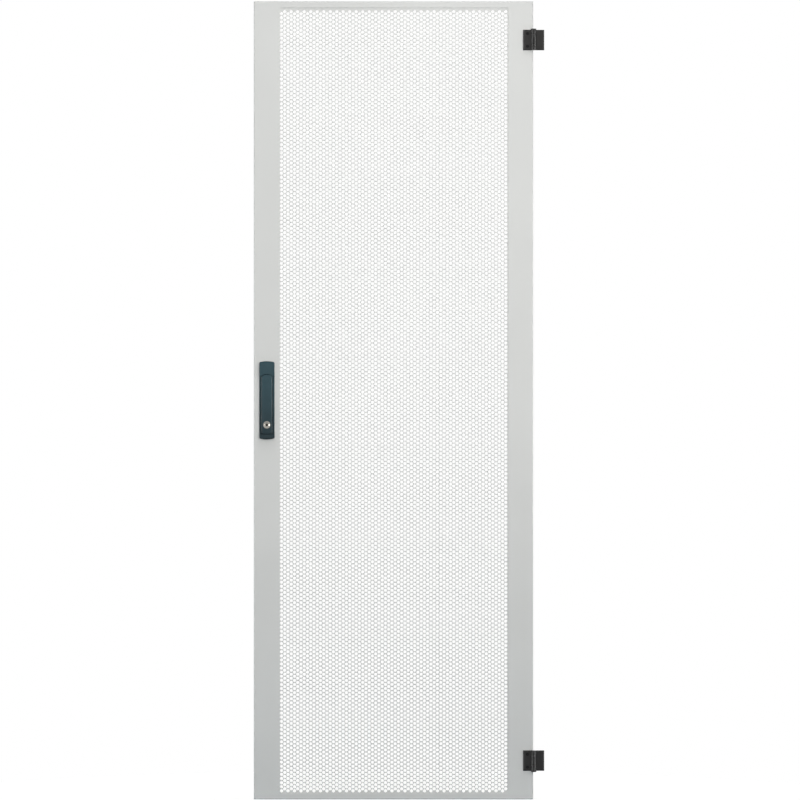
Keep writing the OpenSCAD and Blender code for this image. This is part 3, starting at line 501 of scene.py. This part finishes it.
def galvanised_sheet():
    """Galvanised steel: soft spangle of many tones, with faint rolling lines."""
    sheet = Finish("galvanised_sheet", "zinc_steel", roughness=0.4, metallic=0.9)
    spangle = sheet.cells(0.009)
    sheet.colour(sheet.ramp(spangle, (0.0, linear(168, 172, 175)), (1.0, linear(196, 199, 201))))
    sheet.roughness(sheet.range(spangle, 0.32, 0.5))
    lines = sheet.noise(0.002, place=sheet.stretched((1.0, 1.0, 0.03)))
    sheet.relief(lines, 0.000008)
    return sheet


zinc_sheet = galvanised_sheet()
softened(zinc_sheet, 0.6 * MM, "lock_side_stiffener", "hinge_side_stiffener")

# ------------------------------------------------------------------ hinges
# Zinc castings in black powder coat. The door's leaf is held by two countersunk
# screws into a tapped plate, the rack's leaf by two screws from behind.


def black_casting():
    """Black powder coat on a casting: satin, with a fine even grain."""
    black = Finish("black_casting", "black_cast", roughness=0.36)
    black.shader.inputs["Specular IOR Level"].default_value = 0.35
    tone = black.noise(0.012, detail=3)
    black.colour(black.ramp(tone, (0.35, linear(23, 22, 21)), (0.65, linear(28, 27, 26))))
    grain = black.noise(0.0007, detail=2)
    black.roughness(black.range(grain, 0.3, 0.42))
    black.relief(grain, 0.00002)
    return black


softened(black_casting(), 0.5 * MM, "lower_hinge_frame_leaf", "upper_hinge_frame_leaf",
         "lower_hinge_door_leaf", "upper_hinge_door_leaf")


def black_oxide():
    """Blackened steel of the hinge screws: dark, with an oily sheen."""
    steel = Finish("blackened_steel", "black_steel", roughness=0.35)
    steel.shader.inputs["Specular IOR Level"].default_value = 0.12
    tone = steel.noise(0.003, detail=3)
    steel.colour(steel.ramp(tone, (0.3, linear(14, 14, 15)), (0.7, linear(20, 20, 21))))
    steel.relief(steel.noise(0.0004), 0.000008)
    return steel


dress(black_oxide(), "hinge_screws")


def bright_zinc(name, along):
    """Bright zinc plate on drawn steel: fine lines along one axis, given as the
    stretch of the noise, and a cloudy bluish passivation."""
    zinc = Finish(name, "zinc_steel", roughness=0.3, metallic=1.0)
    cloud = zinc.noise(0.03, detail=3)
    zinc.colour(zinc.ramp(cloud, (0.3, linear(164, 168, 174)), (0.7, linear(184, 184, 180))))
    lines = zinc.noise(0.0006, place=zinc.stretched(along))
    zinc.roughness(zinc.range(lines, 0.22, 0.42))
    zinc.relief(lines, 0.000006)
    return zinc


upright_zinc = bright_zinc("bright_zinc_upright", (1.0, 1.0, 0.02))
turned_zinc = bright_zinc("bright_zinc_turned", (1.0, 1.0, 1.0))
dress(upright_zinc, "lower_hinge_pin", "upper_hinge_pin")
softened(turned_zinc, 0.25 * MM, "hinge_backing_plates")

# ------------------------------------------------------------ swing handle
# Dish and lever are zinc castings in petrol powder coat. The dish is clamped to
# the door with two screws and a gasket; the lever turns on the hub's tongue.


def petrol_coat():
    """Petrol powder coat: satin, slightly cloudy, with a fine texture, and painted
    shade: the colour grows darker towards the handle's foot."""
    dish_low, dish_high = (Vector(corner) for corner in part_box("handle_dish"))
    # height above which no painted shade darkens the coat
    painted_shade_top_z = dish_low.z + 0.7 * (dish_high.z - dish_low.z)
    petrol = Finish("petrol_powder_coat_painted_shade", "petrol_coat", roughness=0.36)
    petrol.shader.inputs["Specular IOR Level"].default_value = 0.26
    tone = petrol.noise(0.02, detail=2)
    upper = petrol.ramp(tone, (0.3, linear(35, 63, 71)), (0.7, linear(39, 67, 75)))
    # painted shade: a darker colour, blended in towards the handle's foot
    painted_shade_colour = petrol.ramp(tone, (0.3, linear(18, 37, 43)), (0.7, linear(22, 41, 47)))
    petrol.colour(petrol.blend("Z", dish_low.z, painted_shade_top_z, painted_shade_colour, upper))
    grain = petrol.noise(0.0008, detail=2)
    petrol.roughness(petrol.range(grain, 0.3, 0.42))
    petrol.relief(grain, 0.00002)
    return petrol


petrol_blue = petrol_coat()
softened(petrol_blue, 0.6 * MM, "handle_dish", "dish_hood", "dish_foot", "swing_lever")
softened(petrol_blue, 0.4 * MM, "handle_clamps", "lock_cover")


def black_rubber():
    """Matt black rubber with a faint bloom."""
    rubber = Finish("black_rubber", "black_rubber", roughness=0.75)
    bloom = rubber.noise(0.006, detail=4)
    rubber.colour(rubber.ramp(bloom, (0.35, linear(30, 30, 31)), (0.7, linear(40, 40, 41))))
    rubber.relief(rubber.noise(0.0005), 0.00002)
    return rubber


matt_rubber = black_rubber()
dress(matt_rubber, "handle_gasket")
softened(matt_rubber, 0.4 * MM, "door_buffers")
dress(turned_zinc, "handle_screws", "lever_pivot_pin", "lock_cover_screws")

# ---------------------------------------------------------- lever's lock
# A nickel plated barrel in the lever, with a plug that the key turns. A pin
# behind the plug shoots a flat bolt into the dish's lower end.


def nickel_plate(name, painted_shade_from=None):
    """Nickel plate on brass. Where a depth is given, the key channel behind it
    is painted dark: painted shade in the recess.
    """
    nickel = Finish(name, "nickel", roughness=0.25, metallic=1.0)
    cloud = nickel.noise(0.004, detail=3)
    bright = nickel.ramp(cloud, (0.3, linear(152, 149, 142)), (0.7, linear(166, 163, 156)))
    if painted_shade_from is None:
        nickel.colour(bright)
    else:
        # painted shade: dark colour inside the keyway, behind the plug's face
        dark = nickel.ramp(cloud, (0.3, linear(52, 48, 43)), (0.7, linear(52, 48, 43)))
        nickel.colour(nickel.blend("Y", painted_shade_from, painted_shade_from + 0.3 * MM, bright, dark))
    scratches = nickel.noise(0.0005, place=nickel.stretched((1.0, 1.0, 0.2)))
    nickel.roughness(nickel.range(scratches, 0.18, 0.34))
    nickel.relief(scratches, 0.000004)
    return nickel


plug_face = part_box("key_plug")[0][1]
dress(nickel_plate("nickel_plate"), "lock_barrel")
# the plug's keyway gets painted shade from 0.3 mm behind its face
dress(nickel_plate("nickel_painted_keyway_shade", plug_face + 0.3 * MM), "key_plug")
softened(turned_zinc, 0.2 * MM, "lock_bolt")

# --------------------------------------------------- hub, pinion, gearbox
# The hub carries the lever through the door and turns the pinion on its square.
# The pinion runs in a case of bent zinc plated sheet, screwed behind the dish.

dress(turned_zinc, "lever_hub", "lock_pinion", "pinion_washer", "pinion_screw", "gearbox_screws")
softened(zinc_sheet, 0.3 * MM, "gearbox_case", "gearbox_cover")

# --------------------------------------------------------------- lock rods
# Flat bars of drawn zinc plated steel, with a rack cut in one end and a tapered
# tip, running in plastic guides that are held by welded studs and nuts.

softened(upright_zinc, 0.3 * MM, "upper_rod", "lower_rod")


def black_plastic():
    """Moulded black polyamide: slightly glossy, with a faint moulded grain."""
    plastic = Finish("black_polyamide", "dark_plastic", roughness=0.45)
    tone = plastic.noise(0.01, detail=3)
    plastic.colour(plastic.ramp(tone, (0.3, linear(32, 33, 34)), (0.7, linear(39, 40, 41))))
    plastic.relief(plastic.noise(0.0006), 0.00001)
    return plastic


softened(black_plastic(), 0.5 * MM, "rod_guides")
softened(turned_zinc, 0.2 * MM, "guide_nuts", "earth_nut")
dress(turned_zinc, "earth_washer")


def threads(name, node, places, diameter, pitch, low_y, high_y):
    """Threaded studs along y. The surface is a grid of angle and length: the
    radius falls from the crest to the root and back once a pitch, shifted by the
    angle so that the groove winds round, and runs down to 45 degrees at the end."""
    around, along = 20, int(6 * (high_y - low_y) / pitch) + 1
    turn = np.linspace(0, 1, around, endpoint=False)
    length = np.linspace(0, high_y - low_y, along)
    length, turn = np.meshgrid(length, turn, indexing="ij")
    crest, depth = diameter / 2, 0.61 * pitch
    wave = np.abs(((length / pitch - turn) % 1) * 2 - 1)
    radius = np.minimum(crest - depth * wave, crest - depth + (high_y - low_y - length))
    radius[0] = radius[1]
    ring = np.stack([radius * np.cos(2 * np.pi * turn), low_y + length,
                     radius * np.sin(2 * np.pi * turn)], axis=-1).reshape(-1, 3)
    step, side = np.meshgrid(np.arange(along - 1), np.arange(around), indexing="ij")
    here = step * around + side
    beside = step * around + (side + 1) % around
    quads = np.stack([here, here + around, beside + around, beside], axis=-1).reshape(-1, 4)
    last = (along - 1) * around
    caps = [list(range(around)), [last + i for i in range(around)][::-1]]
    points = np.concatenate([ring + np.array([x, 0, z]) for x, z in places])
    faces = []
    for number in range(len(places)):
        shift = number * len(ring)
        faces += (quads + shift).tolist() + [[i + shift for i in cap] for cap in caps]
    piece = mesh_piece(name, points, faces)
    piece.data.materials.append(turned_zinc.material)
    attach(piece, "door")
    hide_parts(node)


def islands(node):
    """Middles in x and z of the separate solids of a node, from its mesh."""
    form = bmesh.new()
    form.from_mesh(frame["nodes"][node].data)
    bmesh.ops.remove_doubles(form, verts=form.verts, dist=1e-6)
    places, left = [], set(form.verts)
    while left:
        found, edge = set(), [left.pop()]
        while edge:
            point = edge.pop()
            found.add(point)
            near = {e.other_vert(point) for e in point.link_edges} - found
            left -= near
            edge += near
        spot = np.array([v.co for v in found])
        middle = (spot.min(0) + spot.max(0)) / 2
        places.append((middle[0], middle[2]))
    form.free()
    return sorted(places)


stud_low, stud_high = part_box("guide_studs")
threads("guide_stud_threads", "guide_studs", islands("guide_studs"), 4 * MM, 0.7 * MM,
        stud_low[1], stud_high[1])
earth_low, earth_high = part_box("earth_stud")
threads("earth_stud_threads", "earth_stud", islands("earth_stud"), 6 * MM, 1.0 * MM,
        earth_low[1], earth_high[1])
